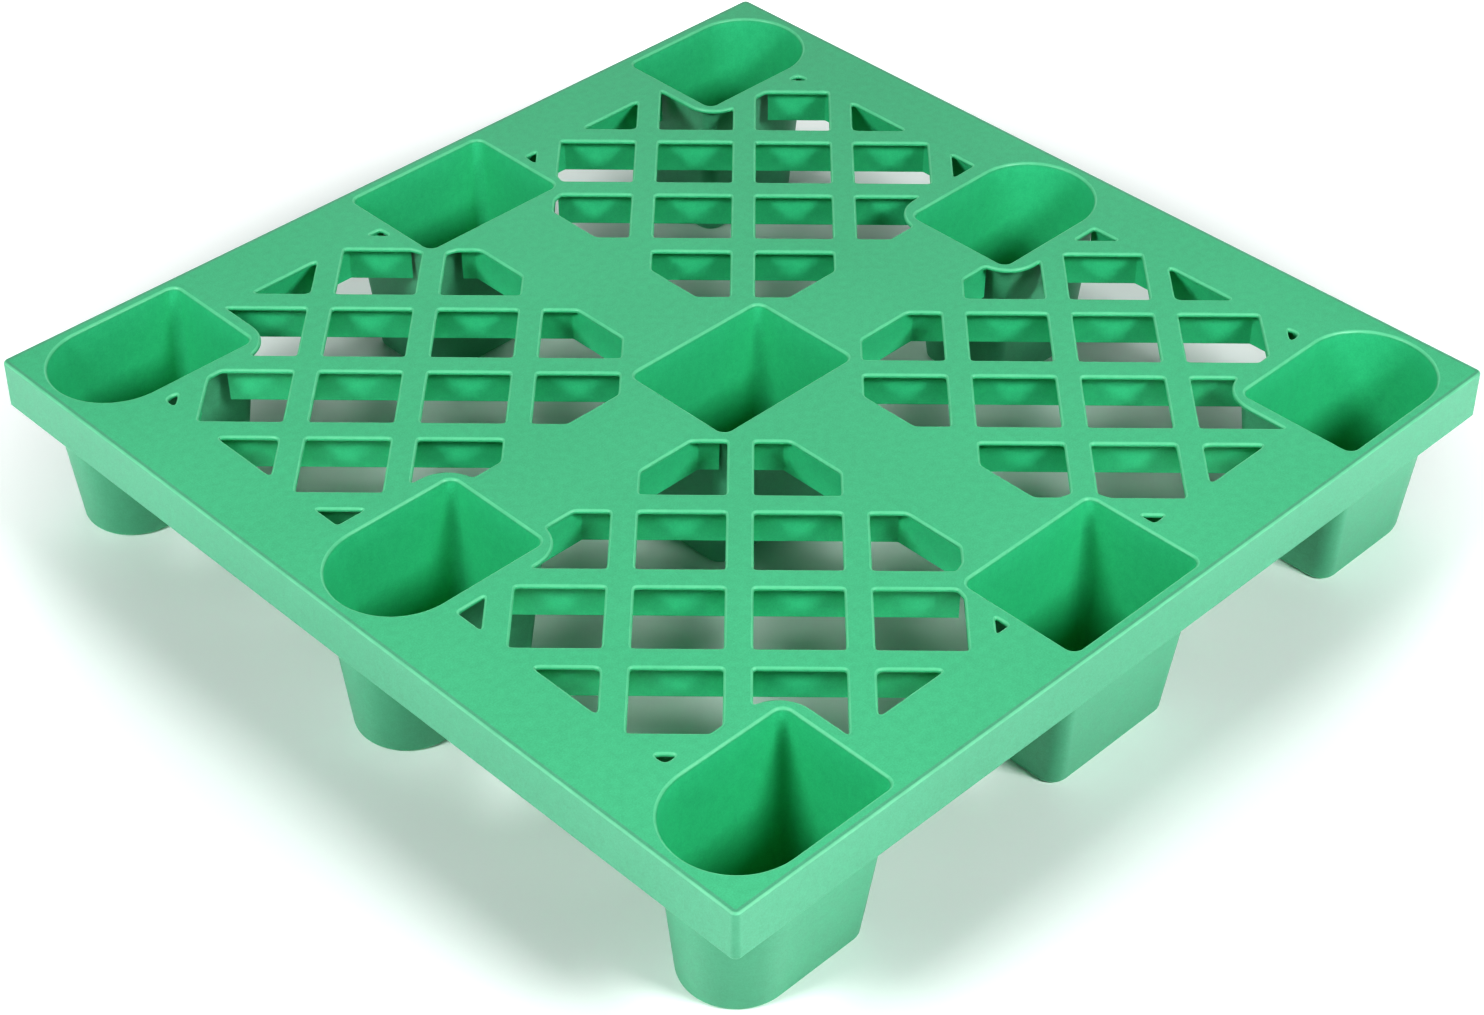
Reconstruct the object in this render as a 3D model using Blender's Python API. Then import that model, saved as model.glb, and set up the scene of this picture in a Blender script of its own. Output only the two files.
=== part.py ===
# Nestable nine-leg plastic pallet, injection moulded in green polypropylene.
# Metres, +Z up, origin on the floor under the middle of the pallet.
# X runs along the front edge, Y runs from the front edge to the rear edge.
# The deck is flat at z = HEIGHT and stands on nine hollow tapered legs that are open at the top.
import math

import bmesh
import bpy
from mathutils import Matrix

for old in list(bpy.data.objects):
    bpy.data.objects.remove(old, do_unlink=True)

# ---------------------------------------------------------------- driving dimensions (metres)
SIDE = 0.800            # length and width of the deck
HEIGHT = 0.140          # floor to deck surface
GAP = 0.0003            # clearance left between neighbouring solids
DECK = 0.004            # thickness of the deck skin
WALL = 0.003            # thickness of the ribs and of the cup walls
FRAME_WALL = 0.0022     # thickness of the wall along the straight sides of a grid panel

SKIRT_HEIGHT = 0.041    # depth of the band round the edge, measured down from the deck
SKIRT_WALL = 0.004      # thickness of the band
SKIRT_FLARE = 0.0006    # how far the lower edge of the band stands outside the upper edge
CORNER_R = 0.005        # vertical corners of the band
COLLAR_R = 0.0027       # corner of a leg's rim where it lies inside a corner of the band

PITCH = 0.0828          # spacing of the diagonal grid bars
BAR = 0.0200            # width of a grid bar; a rib hangs under its middle
RIB_DEPTH = 0.035       # depth of the ribs, measured down from the deck
FIELD_IN = 0.040        # the openings start this far from the centre lines
FIELD_OUT = 0.339       # and end this far from them
LEDGE = 0.005           # solid strip that a grid panel keeps outside its openings
CELL_R = 0.0026         # softening of the cell corners
SMALLEST_CELL = 5.0e-5  # openings smaller than this area (square metres) are left solid
SMALLEST_POCKET = 3e-4  # hollows between the ribs smaller than this are left solid

LEG_AT = 0.3386         # distance of the outer legs from the centre lines
CUP_HALF_Y = 0.0512     # rim of a cup, half its size along Y
CUP_HALF_X = 0.0687     # rim of a centre-column cup, half its size along X
CUP_FLAT_X = 0.2455     # flat inner end of an outer-column cup, from the centre line
CUP_R = 0.008           # vertical corners of a cup
DRAFT_Y = 0.0133        # how much the leg narrows on each side, deck to floor
DRAFT_X = 0.0080        # the same at the flat ends of the centre-column legs
DRAFT_FLAT = 0.0120     # the same at the flat inner end of the outer-column legs
LEG_R = 0.014           # outer vertical corners of a leg at the floor
FOOT_R = 0.003          # rounded edge round the bottom of a leg
FLOOR = 0.004           # thickness of the bottom of a leg

KEEP_X = 0.0100         # solid deck kept beside a centre-column cup
KEEP_FLAT = 0.0110      # solid deck kept at the flat end of an outer-column cup
KEEP_Y = 0.0148         # solid deck kept in front of and behind every cup
KEEP_R = 0.030          # corner radius of that solid area

CROSS_RIBS = 3          # short ribs under each solid strip of the deck
WEB_INSET = 0.012       # the long rib under a strip stops this far from its ends
RIB_INSET = 0.002       # the short ribs stop this far from the strip's sides

OUTLINE_STEP = 0.0004   # spacing of the points on a dense outline
CHORD = 0.0003          # how far a simplified outline may stray from the dense one
OVER = 0.002            # how far a cutting tool reaches past the surface that it cuts
ARC = 6                 # segments in a quarter turn of the larger corners
SMALL_ARC = 3           # segments in a quarter turn of the cup corners
ROUND_END = 16          # segments in the half circle of an outer-column cup

HALF = SIDE / 2
INNER = HALF - SKIRT_WALL          # inner face of the band
EDGE = INNER - GAP                 # where the flat deck parts end
PANEL_IN = FIELD_IN - LEDGE
PANEL_OUT = FIELD_OUT + LEDGE
SKIN_BOTTOM = HEIGHT - DECK
SKIN_MIDDLE = HEIGHT - DECK / 2    # ribs reach up to here, so that they join the skin
RIB_BOTTOM = HEIGHT - RIB_DEPTH

COLUMNS = (("left", -LEG_AT), ("centre", 0), ("right", LEG_AT))
ROWS = (("front", -LEG_AT), ("mid", 0), ("rear", LEG_AT))
SIDES = (("left", -1), ("right", 1))
ENDS = (("front", -1), ("rear", 1))


# ---------------------------------------------------------------- plane outlines
def arc(cx, cy, r, start, stop, steps):
    """Points on an arc, angles in degrees, both ends included."""
    out = []
    for i in range(steps + 1):
        a = math.radians(start + (stop - start) * i / steps)
        out.append((cx + r * math.cos(a), cy + r * math.sin(a)))
    return out


def rounded_box(x0, x1, y0, y1, radii, steps=ARC):
    """Counter-clockwise rectangle; the four corner radii start at the +X+Y corner."""
    corners = ((x1, y1, -1, -1, 0), (x0, y1, 1, -1, 90), (x0, y0, 1, 1, 180), (x1, y0, -1, 1, 270))
    out = []
    for (cx, cy, sx, sy, start), r in zip(corners, radii):
        if r > 0:
            out += arc(cx + sx * r, cy + sy * r, r, start, start + 90, steps)
        else:
            out.append((cx, cy))
    return out


def box(x0, x1, y0, y1):
    return rounded_box(x0, x1, y0, y1, (0, 0, 0, 0))


def area(poly):
    total = 0.0
    for i, (x, y) in enumerate(poly):
        nx, ny = poly[(i + 1) % len(poly)]
        total += x * ny - nx * y
    return total / 2


def clip(poly, nx, ny, limit):
    """Part of a convex outline where nx * x + ny * y <= limit."""
    out = []
    for i, a in enumerate(poly):
        b = poly[(i + 1) % len(poly)]
        da = nx * a[0] + ny * a[1] - limit
        db = nx * b[0] + ny * b[1] - limit
        if da <= 0:
            out.append(a)
        if (da < 0 < db) or (db < 0 < da):
            t = da / (da - db)
            out.append((a[0] + (b[0] - a[0]) * t, a[1] + (b[1] - a[1]) * t))
    return out


def resample(poly):
    """The same outline with its points OUTLINE_STEP apart, or a little more."""
    out = []
    for i, a in enumerate(poly):
        b = poly[(i + 1) % len(poly)]
        n = max(1, int(math.dist(a, b) / OUTLINE_STEP))
        out += [(a[0] + (b[0] - a[0]) * k / n, a[1] + (b[1] - a[1]) * k / n) for k in range(n)]
    return out


def soften(poly, r):
    """Round every corner of an outline by averaging it along its own length, twice."""
    pts = resample(poly)
    m = len(pts)
    reach = max(1, int(r / OUTLINE_STEP / 2))
    window = range(-reach, reach + 1)
    for _ in range(2):
        xs = [sum(pts[(i + k) % m][0] for k in window) / len(window) for i in range(m)]
        ys = [sum(pts[(i + k) % m][1] for k in window) / len(window) for i in range(m)]
        pts = list(zip(xs, ys))
    return pts


def thin(points):
    """Drop the points of an open line that lie within CHORD of the line through those kept."""
    (ax, ay), (bx, by) = points[0], points[-1]
    size = math.dist(points[0], points[-1])
    far, at = 0.0, 0
    for i in range(1, len(points) - 1):
        px, py = points[i]
        off = abs((bx - ax) * (ay - py) - (ax - px) * (by - ay)) / size
        if off > far:
            far, at = off, i
    if far <= CHORD:
        return [points[0], points[-1]]
    return thin(points[: at + 1])[:-1] + thin(points[at:])


def simplify(poly):
    """Thin a closed outline, cut into two open lines at points that lie far apart."""
    start = max(range(len(poly)), key=lambda i: poly[i][0])
    ring = poly[start:] + poly[:start]
    half = max(range(len(ring)), key=lambda i: math.dist(ring[i], ring[0]))
    return thin(ring[: half + 1])[:-1] + thin(ring[half:] + ring[:1])[:-1]


# ---------------------------------------------------------------- layout of the deck
def keep_box(cx, cy):
    """Solid area of the deck round the cup at (cx, cy): x0, x1, y0, y1."""
    y0, y1 = cy - CUP_HALF_Y - KEEP_Y, cy + CUP_HALF_Y + KEEP_Y
    if cx == 0:
        return -CUP_HALF_X - KEEP_X, CUP_HALF_X + KEEP_X, y0, y1
    flat, outer = CUP_FLAT_X - KEEP_FLAT, SIDE
    return (flat, outer, y0, y1) if cx > 0 else (-outer, -flat, y0, y1)


def inside_keep(p, keep):
    x0, x1, y0, y1 = keep
    dx = abs(p[0] - (x0 + x1) / 2) - ((x1 - x0) / 2 - KEEP_R)
    dy = abs(p[1] - (y0 + y1) / 2) - ((y1 - y0) / 2 - KEEP_R)
    return math.hypot(max(dx, 0), max(dy, 0)) + min(max(dx, dy), 0) < KEEP_R


def cut_keep(poly, keep):
    """Outline with the solid area round a cup taken away; both are walked counter-clockwise."""
    flags = [inside_keep(p, keep) for p in poly]
    if not any(flags):
        return [poly]
    if all(flags):
        return []
    border = resample(rounded_box(*keep, (KEEP_R,) * 4, ROUND_END))
    m, n = len(poly), len(border)
    pieces = []
    for i in range(m):
        if flags[i - 1] and not flags[i]:
            run = []
            j = i
            while not flags[j % m]:
                run.append(poly[j % m])
                j += 1
            k = min(range(n), key=lambda at: math.dist(border[at], run[-1]))
            last = min(range(n), key=lambda at: math.dist(border[at], run[0]))
            while k != last:
                run.append(border[k])
                k = (k - 1) % n
            pieces.append(run)
    return pieces


def cell(i, j, width):
    """Square between neighbouring bars or ribs of that width, turned by 45 degrees."""
    edge = width / 2 / PITCH
    low_i, high_i = i + edge, i + 1 - edge
    low_j, high_j = j + edge, j + 1 - edge
    corners = ((low_i, low_j), (low_i, high_j), (high_i, high_j), (high_i, low_j))
    unit = PITCH / math.sqrt(2)
    outline = [((u + v) * unit, (v - u) * unit) for u, v in corners]
    return outline if area(outline) > 0 else outline[::-1]


def cells(sx, sy, width, near, far, smallest):
    """Squares of one quadrant of the deck, cut off at near and far from both centre lines."""
    reach = int(FIELD_OUT * 2 / PITCH / math.sqrt(2)) + 1
    limits = ((-sx, 0, -near), (sx, 0, far), (0, -sy, -near), (0, sy, far))
    out = []
    for i in range(-reach, reach):
        for j in range(-reach, reach):
            outline = cell(i, j, width)
            for nx, ny, limit in limits:
                if outline:
                    outline = clip(outline, nx, ny, limit)
            if len(outline) > 2 and area(outline) > smallest:
                out.append(outline)
    return out


def openings(sx, sy):
    """All openings of one quadrant of the deck, as dense counter-clockwise outlines."""
    keeps = [keep_box(cx, cy) for cx in (0, sx * LEG_AT) for cy in (0, sy * LEG_AT)]
    out = []
    for outline in cells(sx, sy, BAR, FIELD_IN, FIELD_OUT, SMALLEST_CELL):
        parts = [resample(outline)]
        for keep in keeps:
            parts = [piece for part in parts for piece in cut_keep(part, keep)]
        out += [soften(part, CELL_R) for part in parts if area(part) > SMALLEST_CELL]
    return out


# ---------------------------------------------------------------- solids
def placed(name, bm):
    """Turn a bmesh into an object of the scene."""
    mesh = bpy.data.meshes.new(name)
    bmesh.ops.recalc_face_normals(bm, faces=bm.faces[:])
    bm.to_mesh(mesh)
    bm.free()
    ob = bpy.data.objects.new(name, mesh)
    bpy.context.scene.collection.objects.link(ob)
    return ob


def loft(name, sections):
    """Closed body through outlines with equal point counts; sections are (outline, z) pairs."""
    bm = bmesh.new()
    loops = []
    for outline, z in sections:
        ring = [bm.verts.new((x, y, z)) for x, y in outline]
        loops.append([bm.edges.new(pair) for pair in zip(ring, ring[1:] + ring[:1])])
    for low, high in zip(loops, loops[1:]):
        bmesh.ops.bridge_loops(bm, edges=low + high)
    for end in (loops[0], loops[-1]):
        bmesh.ops.contextual_create(bm, geom=end)
    return placed(name, bm)


def prism(name, outline, z0, z1):
    """Upright body with the same outline from z0 to z1."""
    bm = bmesh.new()
    base = bm.faces.new([bm.verts.new((x, y, z0)) for x, y in outline])
    raised = bmesh.ops.extrude_face_region(bm, geom=[base], use_keep_orig=True)
    top = [item for item in raised["geom"] if isinstance(item, bmesh.types.BMVert)]
    bmesh.ops.translate(bm, verts=top, vec=(0, 0, z1 - z0))
    return placed(name, bm)


def gather(name, parts):
    """One object holding several bodies that may touch each other."""
    bm = bmesh.new()
    for part in parts:
        bm.from_mesh(part.data)
        bpy.data.objects.remove(part, do_unlink=True)
    return placed(name, bm)


def combine(target, other, operation):
    """Boolean of two objects; the second one is used up."""
    mod = target.modifiers.new("bool", "BOOLEAN")
    mod.operation = operation
    mod.solver = "EXACT"
    mod.object = other
    graph = bpy.context.evaluated_depsgraph_get()
    done = bpy.data.meshes.new_from_object(target.evaluated_get(graph))
    target.modifiers.clear()
    target.data = done
    bpy.data.objects.remove(other, do_unlink=True)


def material(name, rgb):
    """Satin polypropylene in one shade of green."""
    mat = bpy.data.materials.new(name)
    mat.use_nodes = True
    surface = mat.node_tree.nodes["Principled BSDF"]
    surface.inputs["Base Color"].default_value = (*rgb, 1)
    surface.inputs["Roughness"].default_value = 0.5
    surface.inputs["Metallic"].default_value = 0.0
    return mat


def finish(ob, mat, x, y):
    """Clean the mesh, shade it, give it its material and set its origin at (x, y) on the floor."""
    bm = bmesh.new()
    bm.from_mesh(ob.data)
    bmesh.ops.remove_doubles(bm, verts=bm.verts[:], dist=0.00002)
    bmesh.ops.dissolve_limit(bm, angle_limit=math.radians(0.2), verts=bm.verts[:], edges=bm.edges[:])
    bmesh.ops.triangulate(bm, faces=bm.faces[:])
    bmesh.ops.recalc_face_normals(bm, faces=bm.faces[:])
    bm.to_mesh(ob.data)
    bm.free()
    ob.data.shade_smooth()
    ob.data.set_sharp_from_angle(angle=math.radians(30))
    ob.data.materials.clear()
    ob.data.materials.append(mat)
    ob.data.transform(Matrix.Translation((-x, -y, 0)))
    ob.location = (x, y, 0)
    ob.parent = PALLET


PALLET = bpy.data.objects.new("pallet", None)
bpy.context.scene.collection.objects.link(PALLET)
GREEN_SKIRT = material("green_skirt", (0.13, 0.57, 0.34))
GREEN_LEG = material("green_leg", (0.10, 0.52, 0.29))
GREEN_GRID = material("green_grid", (0.09, 0.56, 0.30))
GREEN_DECK = material("green_deck", (0.09, 0.58, 0.31))


# ---------------------------------------------------------------- the band round the edge
def skirt_outline(turn, flare):
    """Outline of one side of the band, mitred at both corners, turned by quarter turns."""
    e = HALF + flare - CORNER_R
    r = CORNER_R - SKIRT_WALL
    outer = arc(-e, -e, CORNER_R, 225, 270, 4) + arc(e, -e, CORNER_R, 270, 315, 4)
    inner = arc(e, -e, r, 315, 270, 4) + arc(-e, -e, r, 270, 225, 4)
    mitre = GAP / 2 * math.sqrt(2)
    c, s = (1, 0, -1, 0)[turn], (0, 1, 0, -1)[turn]
    out = []
    for x, y in outer + inner:
        room = abs(y) - mitre
        x = max(-room, min(room, x))
        out.append((c * x - s * y, s * x + c * y))
    return out


def skirt(name, turn):
    ob = loft(name, ((skirt_outline(turn, SKIRT_FLARE), HEIGHT - SKIRT_HEIGHT),
                     (skirt_outline(turn, 0), HEIGHT)))
    middle = HALF - SKIRT_WALL / 2
    finish(ob, GREEN_SKIRT, (0, middle, 0, -middle)[turn], (-middle, 0, middle, 0)[turn])


for number, side in enumerate(("front", "right", "rear", "left")):
    skirt("skirt_" + side, number)


# ---------------------------------------------------------------- legs with their rims
def rim_outline(cx, cy):
    """Outline of the flat rim that a leg carries at deck level."""
    x0, x1, y0, y1 = keep_box(cx, cy)
    inset = LEDGE + GAP / 2
    x0, x1 = max(x0 + inset, -EDGE), min(x1 - inset, EDGE)
    y0, y1 = max(y0 + inset, -EDGE), min(y1 - inset, EDGE)
    radii = []
    for px, py in ((x1, y1), (x0, y1), (x0, y0), (x1, y0)):
        sides_at_edge = (abs(px) == EDGE) + (abs(py) == EDGE)
        radii.append((KEEP_R - LEDGE, 0, COLLAR_R)[sides_at_edge])
    return rounded_box(x0, x1, y0, y1, radii)


def leg_outline(cx, cy, z, wall):
    """Outline of a leg at height z; wall 0 is the cavity and WALL the outside."""
    t = 1 - z / HEIGHT
    half_y = CUP_HALF_Y + wall - DRAFT_Y * t
    r = CUP_R + wall + (LEG_R - CUP_R - WALL) * t
    if cx == 0:
        half_x = CUP_HALF_X + wall - DRAFT_X * t
        return rounded_box(-half_x, half_x, cy - half_y, cy + half_y, (r,) * 4, SMALL_ARC)
    flat = CUP_FLAT_X - wall + DRAFT_FLAT * t
    right = arc(LEG_AT, 0, half_y, -90, 90, ROUND_END)
    right += arc(flat + r, half_y - r, r, 90, 180, SMALL_ARC)
    right += arc(flat + r, r - half_y, r, 180, 270, SMALL_ARC)
    if cx > 0:
        return [(x, y + cy) for x, y in right]
    return [(-x, y + cy) for x, y in reversed(right)]


def leg(name, cx, cy):
    ob = prism(name, rim_outline(cx, cy), SKIN_BOTTOM, HEIGHT)
    body = []
    for angle in (0, 45, 90):
        inset = FOOT_R * (1 - math.sin(math.radians(angle)))
        z = FOOT_R * (1 - math.cos(math.radians(angle)))
        body.append((leg_outline(cx, cy, z, WALL - inset), z))
    body.append((leg_outline(cx, cy, SKIN_MIDDLE, WALL), SKIN_MIDDLE))
    combine(ob, loft("body", body), "UNION")
    hollow = loft("hollow", ((leg_outline(cx, cy, FLOOR, 0), FLOOR),
                             (leg_outline(cx, cy, HEIGHT + OVER, 0), HEIGHT + OVER)))
    combine(ob, hollow, "DIFFERENCE")
    finish(ob, GREEN_LEG, cx, cy)


for row, y in ROWS:
    for column, x in COLUMNS:
        leg("leg_" + row + "_" + column, x, y)


# ---------------------------------------------------------------- diagonal grid panels
def rim_cutter(cx, cy):
    """Tool that clears a deck part from the rim of one leg."""
    x0, x1, y0, y1 = keep_box(cx, cy)
    inset = LEDGE - GAP / 2
    outline = rounded_box(x0 + inset, x1 - inset, y0 + inset, y1 - inset, (KEEP_R - LEDGE,) * 4)
    return prism("rim_cutter", outline, RIB_BOTTOM - OVER, HEIGHT + OVER)


def panel(name, sx, sy):
    """Deck skin of one quadrant, on ribs that hang under the middle of its bars."""
    x0, x1 = sorted((sx * (PANEL_IN + GAP / 2), sx * (PANEL_OUT - GAP / 2)))
    y0, y1 = sorted((sy * (PANEL_IN + GAP / 2), sy * (PANEL_OUT - GAP / 2)))
    ob = prism(name, box(x0, x1, y0, y1), RIB_BOTTOM, HEIGHT)
    hollows = cells(sx, sy, WALL, PANEL_IN + FRAME_WALL, PANEL_OUT - FRAME_WALL, SMALLEST_POCKET)
    pockets = [prism("pocket", hollow, RIB_BOTTOM - OVER, SKIN_BOTTOM) for hollow in hollows]
    combine(ob, gather("pockets", pockets), "DIFFERENCE")
    cuts = [prism("cut", simplify(hole), SKIN_BOTTOM - OVER, HEIGHT + OVER) for hole in openings(sx, sy)]
    combine(ob, gather("cuts", cuts), "DIFFERENCE")
    for cx in (0, sx * LEG_AT):
        for cy in (0, sy * LEG_AT):
            combine(ob, rim_cutter(cx, cy), "DIFFERENCE")
    finish(ob, GREEN_GRID, (x0 + x1) / 2, (y0 + y1) / 2)


for end, sy in ENDS:
    for side, sx in SIDES:
        panel("grid_" + end + "_" + side, sx, sy)


# ---------------------------------------------------------------- solid strips of the deck
def strip(name, along, across, turned, rims):
    """Flat strip with ribs under it, cleared from the rims; a turned strip runs along Y."""
    def piece(title, a0, a1, c0, c1, z0, z1):
        return prism(title, box(c0, c1, a0, a1) if turned else box(a0, a1, c0, c1), z0, z1)

    (a0, a1), (c0, c1) = along, across
    middle = (c0 + c1) / 2
    ob = piece(name, a0, a1, c0, c1, SKIN_BOTTOM, HEIGHT)
    web = piece("web", a0 + WEB_INSET, a1 - WEB_INSET, middle - WALL / 2, middle + WALL / 2,
                RIB_BOTTOM, SKIN_MIDDLE)
    combine(ob, web, "UNION")
    for k in range(CROSS_RIBS):
        at = a0 + (a1 - a0) * (k + 0.5) / CROSS_RIBS
        rib = piece("rib", at - WALL / 2, at + WALL / 2, c0 + RIB_INSET, c1 - RIB_INSET,
                    RIB_BOTTOM, SKIN_MIDDLE)
        combine(ob, rib, "UNION")
    for cx, cy in rims:
        combine(ob, rim_cutter(cx, cy), "DIFFERENCE")
    at = (a0 + a1) / 2
    finish(ob, GREEN_DECK, *((middle, at) if turned else (at, middle)))


ARM = PANEL_IN - GAP / 2
NEAR_X = CUP_HALF_X + KEEP_X - LEDGE + GAP / 2       # clear of the centre-column rims
FAR_X = CUP_FLAT_X - KEEP_FLAT + LEDGE - GAP / 2     # clear of the outer-column rims
NEAR_Y = CUP_HALF_Y + KEEP_Y - LEDGE + GAP / 2
FAR_Y = LEG_AT - NEAR_Y
RIM_IN = PANEL_OUT + GAP / 2

for side, s in SIDES:
    strip("cross_" + side, sorted((s * NEAR_X, s * FAR_X)), (-ARM, ARM), False,
          ((0, 0), (s * LEG_AT, 0)))
for end, s in ENDS:
    strip("cross_" + end, sorted((s * NEAR_Y, s * FAR_Y)), (-ARM, ARM), True,
          ((0, 0), (0, s * LEG_AT)))
for end, sy in ENDS:
    for side, sx in SIDES:
        strip("border_" + end + "_" + side, sorted((sx * NEAR_X, sx * FAR_X)),
              sorted((sy * RIM_IN, sy * EDGE)), False, ())
        strip("border_" + side + "_" + end, sorted((sy * NEAR_Y, sy * FAR_Y)),
              sorted((sx * RIM_IN, sx * EDGE)), True, ())
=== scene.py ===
import math

import bmesh
import bpy
from mathutils import Matrix, Vector


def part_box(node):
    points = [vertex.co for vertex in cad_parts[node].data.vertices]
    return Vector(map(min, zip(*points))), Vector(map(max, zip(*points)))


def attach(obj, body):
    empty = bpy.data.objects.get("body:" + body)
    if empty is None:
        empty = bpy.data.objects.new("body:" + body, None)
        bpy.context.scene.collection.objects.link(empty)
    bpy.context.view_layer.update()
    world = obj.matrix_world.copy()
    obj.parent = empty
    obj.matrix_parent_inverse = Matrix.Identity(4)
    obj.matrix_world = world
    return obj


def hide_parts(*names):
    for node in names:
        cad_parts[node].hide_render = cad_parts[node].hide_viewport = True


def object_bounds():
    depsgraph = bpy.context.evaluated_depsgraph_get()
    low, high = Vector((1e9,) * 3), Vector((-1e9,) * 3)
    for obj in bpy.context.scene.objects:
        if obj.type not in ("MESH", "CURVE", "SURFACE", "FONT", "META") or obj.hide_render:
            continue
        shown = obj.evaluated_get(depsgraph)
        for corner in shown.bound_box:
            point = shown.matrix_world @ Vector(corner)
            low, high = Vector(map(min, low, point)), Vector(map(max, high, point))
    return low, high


# The looks of a nestable nine-leg plastic pallet: one green injection moulding with soft edges.
# Every CAD node is replaced by a moulded piece that meets its neighbours edge to edge, so the
# surface runs on without a seam. Metres, +Z up, origin on the floor under the middle.
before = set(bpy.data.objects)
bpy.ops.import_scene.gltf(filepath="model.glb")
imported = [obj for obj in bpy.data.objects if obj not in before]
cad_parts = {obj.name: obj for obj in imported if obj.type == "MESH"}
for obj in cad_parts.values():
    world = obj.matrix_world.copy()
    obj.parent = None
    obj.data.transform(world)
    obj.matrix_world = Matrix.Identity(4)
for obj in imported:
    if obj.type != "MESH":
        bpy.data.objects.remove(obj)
CAD_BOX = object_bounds()

# ---------------------------------------------------------------- sizes taken from the frame
TOP = CAD_BOX[1].z                                  # deck surface
SKIRT_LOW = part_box("skirt_front")[0].z              # lower edge of the band
DECK = 0.004                                        # thickness of the deck skin
SKIN_LOW = TOP - DECK
RIB_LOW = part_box("grid_front_left")[0].z            # lower edge of the ribs
FLARE = 0.0006                                      # the band leans out by this much at its foot
HALF = CAD_BOX[1].x - FLARE                         # half the side of the deck
SKIRT_WALL = 0.004
INNER = HALF - SKIRT_WALL                           # the deck parts end here

# ---------------------------------------------------------------- sizes shared with the CAD
PITCH = 0.0828          # spacing of the diagonal bars
BAR = 0.0200            # width of a bar; a rib hangs under its middle
WALL = 0.003            # ribs and cup walls
FRAME_WALL = 0.0022     # wall along the straight sides of a grid panel
FIELD_IN = 0.040        # the openings start this far from the centre lines
FIELD_OUT = 0.339       # and end this far from them
LEDGE = 0.005           # solid strip outside the openings
CELL_R = 0.0044         # softening of the cell corners
TRIANGLE_R = 0.0085     # the same in a three-cornered cell, whose corners are sharper
SMALLEST_CELL = 5.0e-5  # smaller openings (square metres) are left solid
SMALLEST_POCKET = 3e-4  # smaller hollows between the ribs are left solid
LEG_AT = 0.3386         # outer legs from the centre lines
CUP_HALF_Y = 0.0512     # half the depth of a cup's mouth
CUP_HALF_X = 0.0687     # half the width of a middle cup's mouth
CUP_FLAT_X = 0.2455     # flat side of an outer cup's mouth, from the centre line
CUP_R = 0.008           # vertical corners of a cup at its mouth
LEG_R = 0.014           # and of a leg at its foot
DRAFT_Y = 0.0133        # how far a leg narrows from mouth to foot, on its front and rear sides
DRAFT_X = 0.0080        # on the sides of a middle leg
DRAFT_FLAT = 0.0120     # on the flat side of an outer leg
CUP_FLOOR = 0.004       # thickness of a cup's bottom
KEEP_X = 0.0100         # solid deck beside a middle cup
KEEP_FLAT = 0.0110      # beside an outer cup's flat side
KEEP_Y = 0.0148         # in front of a cup and behind it
KEEP_R = 0.030          # corners of the solid deck round a cup
CORNER_R = 0.005        # vertical corners of the band
CROSS_RIBS = 3          # short ribs under each solid strip
WEB_INSET = 0.012       # the long rib under a strip stops this far from its ends
RIB_INSET = 0.002       # the short ribs stop this far from the strip's sides

# ---------------------------------------------------------------- edges that only the moulding has
EDGE_R = 0.0022         # round edge where the deck turns down into an opening, a cup or the band
SKIN_R = 0.0015         # lower edge of the skin round an opening
SKIRT_FOOT_R = 0.0016   # lower edge of the band
FOOT_R = 0.003          # round edge under a leg
CUP_FLOOR_R = 0.006     # hollow edge round the bottom of a cup
RIB_R = 0.0007          # lower edges of the ribs
RIB_DRAFT = 0.0003      # a rib's face leans by this much
POCKET_R = 0.0015       # hollow corners between the ribs
JOIN = 0.0002           # ribs stay this far inside their panel's outline
RIM_R = KEEP_R - LEDGE
NEAR = FIELD_IN - LEDGE         # a grid panel starts this far from the centre lines
BORDER = FIELD_OUT + LEDGE      # and ends this far from them
SKIN_MIDDLE = TOP - DECK / 2    # ribs reach up to here, so that they join the skin
OVER = 0.002                    # how far a cutting tool reaches past what it cuts
SMALLEST_CORNER = 0.0006        # vertical corners on the inside of the band

# ---------------------------------------------------------------- fineness of the meshes
OUTLINE_STEP = 0.0004           # spacing of the points while an outline is being shaped
CHORD = 0.00004                 # how far a finished outline may stray from them
SHARP = math.radians(40)        # edges that turn by more than this are shaded as sharp
EDGE_STEPS = 5                  # steps in a round edge; the next three are for the smaller ones
SKIN_STEPS = 4
FOOT_STEPS = 4
RIB_STEPS = 2
BAND_STEPS = 6                  # in the round edge between the deck and the band
CORNER_STEPS = 8                # steps in a vertical corner of a leg or of the band
RIM_STEPS = 12                  # in a corner of a leg's rim
ROUND_END_STEPS = 48            # in the round end of an outer leg

SIDES = (("left", -1), ("right", 1))
ENDS = (("front", -1), ("rear", 1))
COLUMNS = (("left", -LEG_AT), ("centre", 0), ("right", LEG_AT))
ROWS = (("front", -LEG_AT), ("mid", 0), ("rear", LEG_AT))
UP, DOWN = 1, -1        # which way a flat faces

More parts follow.
